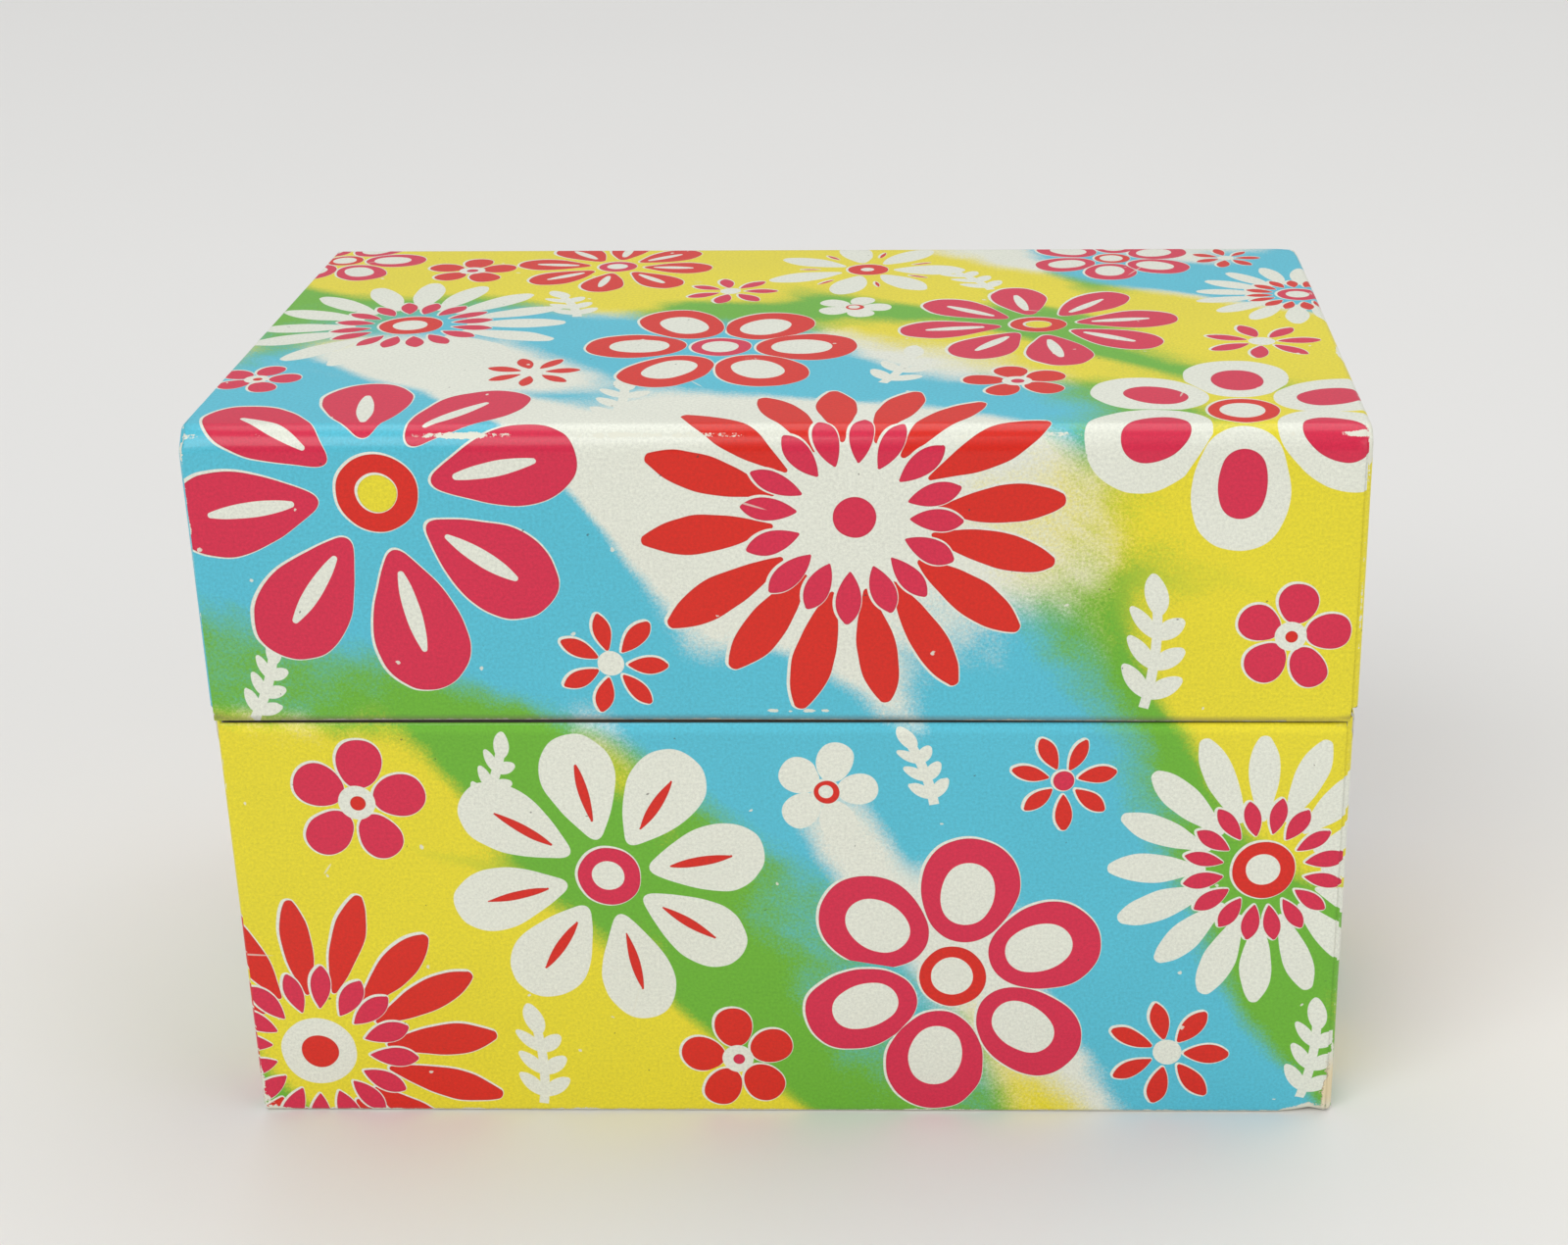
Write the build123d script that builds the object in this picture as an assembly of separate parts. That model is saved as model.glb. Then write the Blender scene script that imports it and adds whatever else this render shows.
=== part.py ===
from build123d import *
import os
from math import cos, hypot, radians, sin

"""Tinplate recipe card box for 3 x 5 inch index cards, in millimetres.

The lid and the base are each one folded blank: a strap makes the front, the top or bottom and
the back, and a side panel is bent up at each end, with tabs tucked behind the strap's corners.
Two small butt hinges join them at the back. The origin is the middle of the underside, the
front faces -Y, and +Z is up.
"""

# Whole box
lid_width = 137.0
lid_depth = 83.5
box_height = 91.5
lid_front_height = 36.5    # top down to the lid's front lower edge
lid_back_height = 14.5     # top down to the hinge axis
side_seam_rise = 1.0       # the side seams start this much higher, at the front corners
seam_gap = 0.35            # between the lid's lower edge and the base's shoulder
lid_opening = 110.0        # degrees, closed to the stop

# Sheet and bends
sheet = 0.3
brow_radius = 3.0          # outside bend between the lid's front or back and its top
fold_radius = 0.8          # outside bend of every other fold
left_reveal = 0.5          # the strap's raw edges stop this far short of the corners
right_reveal = 0.9
tab_width = 8.0
tab_to_hem = 0.5           # between a tab's free edge and the hem beside it

# Hems and the base's neck
hem_height = 5.0
back_hem_height = 9.0
neck_height = 5.0          # above the side shoulders
neck_hem_height = 3.0
shoulder_inside_radius = 0.3
neck_clearance = 0.35      # between the neck and the lid's hems and tabs
stop_clearance = 0.06      # left between the back hems when the lid is fully open

# Hinges
hinge_inset = 26.5         # from each end of the box to the middle of a hinge
hinge_width = 22.0
outer_knuckle = 5.5
knuckle_gap = 0.3
leaf_sheet = 0.3
leaf_height = 8.0
leaf_corner_radius = 1.5
pin_radius = 0.6
pin_running_clearance = 0.05
pin_head_radius = 0.85
pin_head_height = 0.35
notch_clearance = 0.25     # round the barrel, in both back panels

# What follows from them
hem = 2 * sheet
joggle = sheet + shoulder_inside_radius
lid_overhang = hem + neck_clearance - joggle
base_width = lid_width - 2 * lid_overhang
base_depth = lid_depth - lid_overhang
base_front = -base_depth / 2
back_face = base_depth / 2
lid_front = base_front - lid_overhang
hinge_y = back_face - hem / 2
front_seam_height = box_height - lid_front_height
hinge_height = box_height - lid_back_height
front_rim = front_seam_height - seam_gap
half_turn_left = radians(180 - lid_opening) / 2
edge_to_axis = hem / 2 / sin(half_turn_left) - hem / 2 + stop_clearance
lid_back_edge = hinge_height + edge_to_axis
base_back_edge = hinge_height - edge_to_axis
neck_top = front_rim + side_seam_rise + neck_height
hinge_x = lid_width / 2 - hinge_inset
barrel_radius = pin_radius + pin_running_clearance + leaf_sheet
pin_shank = hinge_width + 2 * knuckle_gap
pin_length = pin_shank + 2 * pin_head_height
past = 20.0                # how far cutting solids run past what they cut


def outline(start, *steps):
    """Closed face. Each step ends a straight run (end,) or an arc (middle, end)."""
    edges, here = [], start
    for *middle, end in steps:
        edges.append(ThreePointArc(here, middle[0], end) if middle else Line(here, end))
        here = end
    edges.append(Line(here, start))
    return make_face(edges)


def on_arc(centre_y, centre_z, radius, degrees):
    """Point on a circle in the depth-height plane."""
    angle = radians(degrees)
    return centre_y + radius * cos(angle), centre_z + radius * sin(angle)


def across(face, low, high):
    """Depth-height face run from one width to another."""
    return extrude(Plane.YZ.offset(low) * face, amount=high - low, dir=(1, 0, 0))


def block(low, high):
    """Plain box between two corners."""
    size = [b - a for a, b in zip(low, high)]
    middle = [(a + b) / 2 for a, b in zip(low, high)]
    return Pos(*middle) * Box(*size)


def pan(width, front, back, height, corner, fold):
    """Solid block whose floor is at z = 0, with its front, back and end folds rounded."""
    face = outline(
        (front, height),
        ((front, corner),),
        (on_arc(front + corner, corner, corner, 225), (front + corner, 0)),
        ((back - corner, 0),),
        (on_arc(back - corner, corner, corner, 315), (back, corner)),
        ((back, height),),
    )
    solid = across(face, -width / 2, width / 2)
    rim = solid.edges().filter_by(lambda e: e.bounding_box().min.Z > height - sheet / 2)
    ends = solid.faces().filter_by(Axis.X).edges()
    return fillet([e for e in ends if e not in rim], fold)


def end_troughs(width, front, back, height, corner):
    """The two side panels with their tabs, standing on what is bent up from the floor."""
    outer = pan(width, front, back, height, corner, fold_radius)
    inner = pan(width - hem, front + sheet, back - sheet, height, corner, fold_radius - sheet)
    between = width / 2 - tab_width
    middle = block((-between, front - past, -past), (between, back + past, height + past))
    return outer - Pos(0, 0, sheet) * inner - middle


def hem_end(y_outside, inward, edge, away, height):
    """Closed hem in section: doubled sheet with a round fold at the edge."""
    y_fold = y_outside + inward * sheet
    far = edge + away * height
    centre = edge + away * sheet
    y_low, y_high = sorted((y_outside, y_outside + inward * hem))
    z_low, z_high = sorted((centre, far))
    leg = outline((y_low, z_low), ((y_high, z_low),), ((y_high, z_high),), ((y_low, z_high),))
    return leg + Pos(y_fold, centre) * Circle(sheet)


def below_line(front_point, back_point):
    """Depth-height face under a slanted line that is carried on past both ends."""
    (y0, z0), (y1, z1) = front_point, back_point
    slope = (z1 - z0) / (y1 - y0)
    low = -past
    return outline(
        (y0 - past, low),
        ((y1 + past, low),),
        ((y1 + past, z1 + past * slope),),
        ((y0 - past, z0 - past * slope),),
    )


def along_line(section, front_point, back_point):
    """Width-height section run along a slanted line in a side panel, front to back."""
    (y0, z0), (y1, z1) = front_point, back_point
    length = hypot(y1 - y0, z1 - z0)
    plane = Plane(origin=(0, y1, z1), x_dir=(1, 0, 0), z_dir=(0, y0 - y1, z0 - z1))
    return extrude(plane * section, amount=length, dir=tuple(plane.z_dir))


def both_sides(piece):
    """A piece of the right side together with its mirror image."""
    return piece + mirror(piece, about=Plane.YZ)


def barrel_notches():
    """Room for the hinge barrels, cut from both back panels."""
    half = pin_length / 2 + notch_clearance
    reach = barrel_radius + notch_clearance
    notch = block(
        (-half, back_face - barrel_radius - hem, hinge_height - reach),
        (half, back_face + past, hinge_height + reach),
    )
    return both_sides(Pos(hinge_x, 0, 0) * notch)


def lid_strap():
    """Front, top and back of the lid, with the front and back hems."""
    top, inside = box_height, brow_radius - sheet
    front_centre, back_centre = lid_front + brow_radius, back_face - brow_radius
    level = top - brow_radius
    skin = outline(
        (lid_front, front_seam_height + sheet),
        ((lid_front, level),),
        (on_arc(front_centre, level, brow_radius, 135), (front_centre, top)),
        ((back_centre, top),),
        (on_arc(back_centre, level, brow_radius, 45), (back_face, level)),
        ((back_face, lid_back_edge + sheet),),
        ((back_face - sheet, lid_back_edge + sheet),),
        ((back_face - sheet, level),),
        (on_arc(back_centre, level, inside, 45), (back_centre, top - sheet)),
        ((front_centre, top - sheet),),
        (on_arc(front_centre, level, inside, 135), (lid_front + sheet, level)),
        ((lid_front + sheet, front_seam_height + sheet),),
    )
    reach = lid_width / 2 - tab_width - tab_to_hem
    strap = across(skin, left_reveal - lid_width / 2, lid_width / 2 - right_reveal)
    strap += across(hem_end(lid_front, 1, front_seam_height, 1, hem_height), -reach, reach)
    return strap + across(hem_end(back_face, -1, lid_back_edge, 1, back_hem_height), -reach, reach)


def lid_side_hem():
    """Hem inside the right side panel, along its slanted lower edge."""
    line = (lid_front, front_seam_height + side_seam_rise), (back_face, lid_back_edge)
    outside = lid_width / 2
    leg = outline(
        (outside - hem, sheet),
        ((outside, sheet),),
        ((outside, hem_height),),
        ((outside - hem, hem_height),),
    )
    run = along_line(leg + Pos(outside - sheet, sheet) * Circle(sheet), *line)
    front_end = lid_front + hem + tab_to_hem
    back_end = back_face - hem - tab_to_hem
    return run & block((0, front_end, 0), (lid_width, back_end, box_height))


def lid_shell():
    depth = back_face - sheet - (lid_front + sheet)
    centre = (back_face + lid_front) / 2
    ends = end_troughs(lid_width, -depth / 2, depth / 2, box_height, brow_radius - sheet)
    ends = Pos(0, centre, box_height) * mirror(ends, about=Plane.XY)
    fold_line = (
        (lid_front, front_seam_height + side_seam_rise + hem),
        (back_face, lid_back_edge + hem),
    )
    ends -= across(below_line(*fold_line), -lid_width, lid_width)
    shell = ends + lid_strap() + both_sides(lid_side_hem())
    return shell - barrel_notches()


def base_strap():
    """Front, bottom and back of the base, with the front neck and both hems."""
    bend, inside = fold_radius, fold_radius - sheet
    crest = front_rim - joggle
    neck_face = base_front + joggle
    skin = outline(
        (base_front + bend, 0),
        (on_arc(base_front + bend, bend, bend, 225), (base_front, bend)),
        ((base_front, crest),),
        (on_arc(neck_face, crest, joggle, 135), (neck_face, front_rim)),
        ((neck_face, neck_top - sheet),),
        ((neck_face + sheet, neck_top - sheet),),
        ((neck_face + sheet, front_rim),),
        (on_arc(neck_face, front_rim, sheet, 315), (neck_face, front_rim - sheet)),
        (on_arc(neck_face, crest, shoulder_inside_radius, 135), (base_front + sheet, crest)),
        ((base_front + sheet, bend),),
        (on_arc(base_front + bend, bend, inside, 225), (base_front + bend, sheet)),
        ((back_face - bend, sheet),),
        (on_arc(back_face - bend, bend, inside, 315), (back_face - sheet, bend)),
        ((back_face - sheet, base_back_edge - sheet),),
        ((back_face, base_back_edge - sheet),),
        ((back_face, bend),),
        (on_arc(back_face - bend, bend, bend, 315), (back_face - bend, 0)),
    )
    strap = across(skin, left_reveal - base_width / 2, base_width / 2 - right_reveal)
    reach = base_width / 2 - tab_width - tab_to_hem
    strap += across(hem_end(back_face, -1, base_back_edge, -1, back_hem_height), -reach, reach)
    neck_reach = base_width / 2 - joggle
    neck_hem = hem_end(neck_face, 1, neck_top, -1, neck_hem_height)
    strap += across(neck_hem, -neck_reach + hem, neck_reach - hem)
    corner = block((neck_reach, base_front - past, crest), (lid_width, base_front + past, box_height))
    return strap - both_sides(corner)


def side_rim():
    """Front and back ends of the line that the side shoulders follow."""
    return (base_front, front_rim + side_seam_rise), (back_face, base_back_edge)


def base_side_neck():
    """Shoulder and neck of the right side panel, along its slanted rim."""
    face = base_width / 2 - joggle
    section = outline(
        (base_width / 2, -hem_height),
        ((base_width / 2, -joggle),),
        (on_arc(face, -joggle, joggle, 45), (face, 0)),
        ((face, neck_height - sheet),),
        ((face - hem, neck_height - sheet),),
        ((face - hem, neck_height - neck_hem_height),),
        ((face - sheet, neck_height - neck_hem_height),),
        ((face - sheet, 0),),
        (on_arc(face, 0, sheet, 225), (face, -sheet)),
        (on_arc(face, -joggle, shoulder_inside_radius, 45), (base_width / 2 - sheet, -joggle)),
        ((base_width / 2 - sheet, -hem_height),),
    )
    run = along_line(section + Pos(face - sheet, neck_height - sheet) * Circle(sheet), *side_rim())
    front_end = base_front + joggle
    back_end = back_face - hem - neck_clearance
    return run & block((0, front_end, 0), (lid_width, back_end, box_height))


def base_shell():
    ends = end_troughs(base_width, base_front + sheet, back_face - sheet, box_height, fold_radius)
    (y0, z0), (y1, z1) = side_rim()
    above = across(below_line((y0, z0 - joggle), (y1, z1 - joggle)), -lid_width, lid_width)
    ends &= above
    tab_reach = base_width / 2 - fold_radius - sheet
    front_tabs_top = front_rim - joggle - sheet
    ends -= block(
        (-tab_reach, base_front - past, front_tabs_top),
        (tab_reach, base_front + hem + sheet, box_height),
    )
    shell = ends + base_strap() + both_sides(base_side_neck())
    return shell - barrel_notches()


def knuckle(centre_x, width):
    """Rolled knuckle, solid until the pin hole is made."""
    return Pos(centre_x, hinge_y, hinge_height) * Rot(0, 90, 0) * Cylinder(barrel_radius, width)


def knuckles(upper):
    """Centres and widths of one leaf's knuckles: the upper leaf has the middle one."""
    if upper:
        return [(0, hinge_width - 2 * outer_knuckle - 2 * knuckle_gap)]
    offset = (hinge_width - outer_knuckle) / 2
    return [(-offset, outer_knuckle), (offset, outer_knuckle)]


def hinge_leaf(upper):
    """Flat leaf against the back hem, with a short neck to each of its knuckles."""
    seat = back_face - hem
    away = 1 if upper else -1
    start, end = (hinge_height + away * d for d in (barrel_radius + knuckle_gap, leaf_height))
    low, high = sorted((start, end))
    leaf = block((-hinge_width / 2, seat - leaf_sheet, low), (hinge_width / 2, seat, high))
    corners = leaf.edges().filter_by(Axis.Y).filter_by(lambda e: abs(e.center().Z - end) < sheet)
    leaf = fillet(corners, leaf_corner_radius)
    for centre, width in knuckles(upper):
        low, high = sorted((hinge_height, start))
        leaf += block((centre - width / 2, seat - leaf_sheet, low), (centre + width / 2, seat, high))
        leaf += knuckle(centre, width)
    hole = Pos(0, hinge_y, hinge_height) * Rot(0, 90, 0)
    return leaf - hole * Cylinder(pin_radius + pin_running_clearance, hinge_width + past)


def hinge_pin():
    """Plain wire pin, headed at both ends outside the barrel."""
    pin = Cylinder(pin_radius, pin_shank)
    head = Cylinder(pin_head_radius, pin_head_height)
    head = chamfer(head.edges().group_by(Axis.Z)[-1], pin_head_height / 2)
    head = Pos(0, 0, (pin_shank + pin_head_height) / 2) * head
    pin += head + mirror(head, about=Plane.XY)
    return Pos(0, hinge_y, hinge_height) * Rot(0, 90, 0) * pin


def build():
    """Every sub-part by its node's name."""
    parts = {"base_shell": base_shell(), "lid_shell": lid_shell()}
    for side, sign in (("left", -1), ("right", 1)):
        place = Pos(sign * hinge_x, 0, 0)
        parts[side + "_hinge_lower_leaf"] = place * hinge_leaf(upper=False)
        parts[side + "_hinge_upper_leaf"] = place * hinge_leaf(upper=True)
        parts[side + "_hinge_pin"] = place * hinge_pin()
    return parts


os.makedirs("parts", exist_ok=True)
for name, part in build().items():
    export_step(part, f"parts/{name}.step")
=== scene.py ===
"""Looks of the tinplate recipe card box, in metres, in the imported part's own frame.

The front faces -Y and +Z is up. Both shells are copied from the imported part, cut into a fine grid,
printed, varnished and worn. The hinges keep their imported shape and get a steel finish.
"""

import bmesh
import bpy
import numpy as np
from collections import namedtuple
from math import atan2, cos, hypot, pi, radians, sin, tau
from mathutils import Matrix, Vector, noise
from mathutils.bvhtree import BVHTree


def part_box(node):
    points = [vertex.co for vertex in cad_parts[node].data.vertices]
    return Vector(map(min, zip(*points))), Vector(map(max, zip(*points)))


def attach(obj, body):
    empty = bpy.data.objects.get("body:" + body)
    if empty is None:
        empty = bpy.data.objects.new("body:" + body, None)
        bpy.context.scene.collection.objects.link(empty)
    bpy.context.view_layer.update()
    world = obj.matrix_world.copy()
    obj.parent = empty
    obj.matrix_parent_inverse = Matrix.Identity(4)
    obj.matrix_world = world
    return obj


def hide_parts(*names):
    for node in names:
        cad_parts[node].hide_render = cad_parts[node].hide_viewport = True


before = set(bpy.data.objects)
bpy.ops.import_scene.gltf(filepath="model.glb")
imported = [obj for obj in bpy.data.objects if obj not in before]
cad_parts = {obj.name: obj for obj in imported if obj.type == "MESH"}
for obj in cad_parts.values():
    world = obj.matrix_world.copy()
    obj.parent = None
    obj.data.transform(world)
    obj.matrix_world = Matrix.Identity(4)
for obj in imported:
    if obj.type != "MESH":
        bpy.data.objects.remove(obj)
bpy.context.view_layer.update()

MM = 0.001

# Sheet and bends of both shells
SHEET = 0.3 * MM
BROW = 3.0 * MM            # outside bend between the lid's front or back and its top
FOLD = 0.8 * MM            # outside bend of every other fold
SEAM_GAP = 0.35 * MM       # between the lid's lower edge and the base's shoulder
SIDE_SEAM_RISE = 1.0 * MM  # the side seams start this much higher, at the front corners,
SIDE_SEAM_DROP = 0.283 * MM  # and end this far below the hinge axis
HEM_END = 60.0 * MM        # the hem along the lid's front ends this far from the middle
GRID = 2.0 * MM            # size of the faces that the panels are cut into
HAIR = 0.01 * MM           # a distance too small to see

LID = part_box("lid_shell")
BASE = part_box("base_shell")
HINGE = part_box("left_hinge_pin")
TOP = LID[1].z
SEAM = LID[0].z
RIM = SEAM - SEAM_GAP
AXIS_HEIGHT = (HINGE[0].z + HINGE[1].z) / 2


# ---------------------------------------------------------------- colours

def srgb(red, green, blue):
    """Colour written as on a screen, 0 to 255, as the linear one that a shader needs."""
    def linear(value):
        share = value / 255
        return share / 12.92 if share <= 0.04045 else ((share + 0.055) / 1.055) ** 2.4
    return linear(red), linear(green), linear(blue), 1.0


WHITE = srgb(228, 230, 216)
CRIMSON = srgb(213, 32, 70)
RED = srgb(216, 28, 3)
YELLOW = srgb(231, 216, 40)
GREEN = srgb(106, 178, 44)
TURQUOISE = srgb(84, 190, 212)
CREAM = srgb(226, 219, 198)
PRIMER = srgb(234, 213, 168)
TIN = srgb(188, 186, 180)
WIRE = srgb(172, 170, 165)
RUST = srgb(112, 66, 38)
# Soot brown: dark specks of dirt, and the painted shade in the crease at the seam
SOOT_AND_SHADE = srgb(58, 50, 43)
HEM_SHADE = srgb(164, 142, 122)
PALE = srgb(223, 223, 220)

# Inks by letter: none, white, crimson, red and yellow. The print's attributes hold their numbers.
INKS = "-WCRY"
INK_CHART = (WHITE, WHITE, CRIMSON, RED, YELLOW)


# ---------------------------------------------------------------- shader formulas

class Term:
    """An output socket that adds, multiplies and compares, so that a shader reads as a formula."""

    def __init__(self, tree, socket):
        self.tree, self.socket = tree, socket

    def math(self, operation, *others):
        node = self.tree.nodes.new("ShaderNodeMath")
        node.operation = operation
        for socket, value in zip(node.inputs, (self, *others)):
            plug(socket, value)
        return Term(self.tree, node.outputs[0])

    def __add__(self, other):
        return self.math("ADD", other)

    def __sub__(self, other):
        return self.math("SUBTRACT", other)

    def __mul__(self, other):
        return self.math("MULTIPLY", other)

    def __truediv__(self, other):
        return self.math("DIVIDE", other)

    def __neg__(self):
        return self.math("MULTIPLY", -1.0)

    def __abs__(self):
        return self.math("ABSOLUTE")

    def least(self, other):
        return self.math("MINIMUM", other)

    def most(self, other):
        return self.math("MAXIMUM", other)

    def over(self, other):
        return self.math("GREATER_THAN", other)

    def fade(self, low, high, from_value=0.0, to_value=1.0):
        """Smooth step from one value to another as this goes from low to high."""
        node = self.tree.nodes.new("ShaderNodeMapRange")
        node.interpolation_type = "SMOOTHSTEP"
        for socket, value in zip(node.inputs, (self, low, high, from_value, to_value)):
            plug(socket, value)
        return Term(self.tree, node.outputs[0])


def plug(socket, value):
    """Links a term, or sets a plain value."""
    if isinstance(value, Term):
        value.tree.links.new(value.socket, socket)
    else:
        socket.default_value = value


def length_of(x, y):
    return (x * x + y * y).math("SQRT")


def choose(picked, if_picked, otherwise):
    """One of two numbers, as picked is 1 or 0."""
    return (if_picked - otherwise) * picked + otherwise


def split(tree, socket):
    """The three numbers of a vector."""
    node = tree.nodes.new("ShaderNodeSeparateXYZ")
    tree.links.new(socket, node.inputs[0])
    return [Term(tree, output) for output in node.outputs]


def joined(tree, *values):
    """A vector from up to three numbers."""
    node = tree.nodes.new("ShaderNodeCombineXYZ")
    for socket, value in zip(node.inputs, values):
        plug(socket, value)
    return Term(tree, node.outputs[0])


def blended(tree, below, above, share):
    """Colour between two colours."""
    node = tree.nodes.new("ShaderNodeMix")
    node.data_type = "RGBA"
    plug(node.inputs["Factor"], share)
    for socket, value in zip((node.inputs[6], node.inputs[7]), (below, above)):
        plug(socket, value)
    return Term(tree, node.outputs[2])


def times(tree, colour, amount):
    """Colour made darker or lighter by a number."""
    node = tree.nodes.new("ShaderNodeVectorMath")
    node.operation = "SCALE"
    plug(node.inputs[0], colour)
    plug(node.inputs["Scale"], amount)
    return Term(tree, node.outputs[0])


def noise_at(tree, place, scale, detail=2.0, roughness=0.5, warp=0.0):
    node = tree.nodes.new("ShaderNodeTexNoise")
    plug(node.inputs["Vector"], place)
    settings = {"Scale": scale, "Detail": detail, "Roughness": roughness, "Distortion": warp}
    for name, value in settings.items():
        node.inputs[name].default_value = value
    return Term(tree, node.outputs["Fac"])


def new_group(name, inputs, outputs, kinds=()):
    """Empty node group, with its inputs as terms and its output node.

    A socket holds a number unless kinds has another kind for it.
    """
    tree = bpy.data.node_groups.new(name, "ShaderNodeTree")
    for way, labels in (("INPUT", inputs), ("OUTPUT", outputs)):
        for label in labels:
            kind = "NodeSocket" + dict(kinds).get(label, "Float")
            tree.interface.new_socket(label, in_out=way, socket_type=kind)
    start = tree.nodes.new("NodeGroupInput")
    end = tree.nodes.new("NodeGroupOutput")
    return tree, [Term(tree, start.outputs[label]) for label in inputs], end


def use_group(tree, group, *values):
    node = tree.nodes.new("ShaderNodeGroup")
    node.node_tree = group
    for socket, value in zip(node.inputs, values):
        plug(socket, value)
    return [Term(tree, output) for output in node.outputs]


def attribute(tree, name):
    """The four numbers that a mesh attribute holds."""
    node = tree.nodes.new("ShaderNodeAttribute")
    node.attribute_name = name
    return [*split(tree, node.outputs["Vector"]), Term(tree, node.outputs["Alpha"])]


def object_place(tree, scale=1 / MM):
    """Object coordinates, in millimetres unless another scale is given."""
    node = tree.nodes.new("ShaderNodeTexCoord")
    return times(tree, Term(tree, node.outputs["Object"]), scale)


def new_material(name):
    """Material with a Principled shader, and its tree."""
    material = bpy.data.materials.new(name)
    material.use_nodes = True
    return material, material.node_tree, material.node_tree.nodes["Principled BSDF"]


def bump(tree, shader, height, distance):
    """Surface relief on a shader. Height is in the unit that distance turns into metres."""
    node = tree.nodes.new("ShaderNodeBump")
    node.inputs["Distance"].default_value = distance
    plug(node.inputs["Height"], height)
    tree.links.new(node.outputs["Normal"], shader.inputs["Normal"])


# ---------------------------------------------------------------- print: motifs

# Petal sizes are shares of the bloom's radius: where the petal's middle is, half its length and
# half its width, then how round its tips are and how much it widens outwards.
Ring = namedtuple("Ring", "middle half_length half_width tips widen")
Style = namedtuple("Style", "petals outer inner inner_turn disc core")
STYLES = {
    "dahlia": Style(
        16,
        Ring(0.69, 0.31, 0.088, 0.25, 0.30),
        Ring(0.40, 0.13, 0.055, 0.20, 0.20),
        0.5, 0.20, 0.10,
    ),
    "cosmos": Style(
        8,
        Ring(0.64, 0.36, 0.195, 0.55, 0.42),
        Ring(0.60, 0.20, 0.030, 0.20, 0.0),
        0.0, 0.19, 0.09,
    ),
    "rosette": Style(
        6,
        Ring(0.63, 0.37, 0.29, 0.90, 0.10),
        Ring(0.60, 0.21, 0.15, 0.90, 0.0),
        0.0, 0.21, 0.12,
    ),
    "starlet": Style(
        7,
        Ring(0.64, 0.36, 0.15, 0.30, 0.20),
        Ring(0.60, 0.10, 0.02, 0.20, 0.0),
        0.5, 0.20, 0.05,
    ),
    "buttercup": Style(
        5,
        Ring(0.62, 0.38, 0.31, 0.92, 0.12),
        Ring(0.55, 0.10, 0.02, 0.20, 0.0),
        0.5, 0.24, 0.11,
    ),
}

# Blooms on the flat print, in millimetres. Across is measured from the middle of the front, and
# up from the foot of the front, over the brow and the top to the back. Inks are those of the
# petals, the inner petals, the disc and its core.
Bloom = namedtuple("Bloom", "across up radius style turn inks")
LARGE_BLOOMS = [
    # front of the base
    Bloom(-60, 9, 23, "dahlia", 5, "RCWR"),
    Bloom(-22, 34, 20.5, "cosmos", 12, "WRCW"),
    Bloom(20, 20, 20, "rosette", 20, "CWRW"),
    Bloom(58, 35, 19, "dahlia", 0, "WCRW"),
    # front of the lid and over the brow
    Bloom(-46, 84, 25, "cosmos", 10, "CWRY"),
    Bloom(9, 81, 25.5, "dahlia", 7, "RCWC"),
    Bloom(54, 97, 20, "rosette", 28, "WCRW"),
    # top of the lid
    Bloom(-50, 133, 20, "dahlia", 3, "WCRW"),
    Bloom(-9, 123, 18, "rosette", 0, "RWCW"),
    Bloom(31, 133, 19, "cosmos", 10, "CWRY"),
    Bloom(66, 147, 14, "dahlia", 15, "WRCW"),
    Bloom(-27, 162, 14, "cosmos", 40, "RWCW"),
    Bloom(8, 160, 14, "starlet", 0, "WRRW"),
    Bloom(42, 166, 12, "rosette", 25, "CWRW"),
    Bloom(-66, 166, 12, "rosette", 0, "CWRW"),
    # sides of the base, right then left
    Bloom(98, 26, 20, "rosette", 12, "CWRW"),
    Bloom(137.5, 32, 18, "cosmos", 5, "RWCW"),
    Bloom(118, 64, 14, "dahlia", 0, "WCRW"),
    Bloom(-103, 31, 18.5, "cosmos", 20, "WRCW"),
    Bloom(-141, 24, 18, "rosette", 0, "CWRW"),
    Bloom(-130, 60, 13, "dahlia", 0, "RWCW"),
    # sides of the lid, right then left
    Bloom(89, 109, 15, "cosmos", 0, "WCRW"),
    Bloom(93, 142, 12, "rosette", 9, "CWRW"),
    Bloom(-87, 112, 15, "rosette", 0, "RWCW"),
    Bloom(-86, 144, 13, "cosmos", 9, "WRCW"),
    # back of the base, drawn on its own stretch of the print
    Bloom(245, 25, 22, "dahlia", 0, "CRWC"),
    Bloom(291, 30, 21, "rosette", 10, "WCRW"),
    Bloom(338, 24, 21, "cosmos", 20, "RWCW"),
    Bloom(316, 64, 13, "dahlia", 0, "RCWR"),
    Bloom(267, 63, 13, "cosmos", 10, "CWRW"),
]
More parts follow.
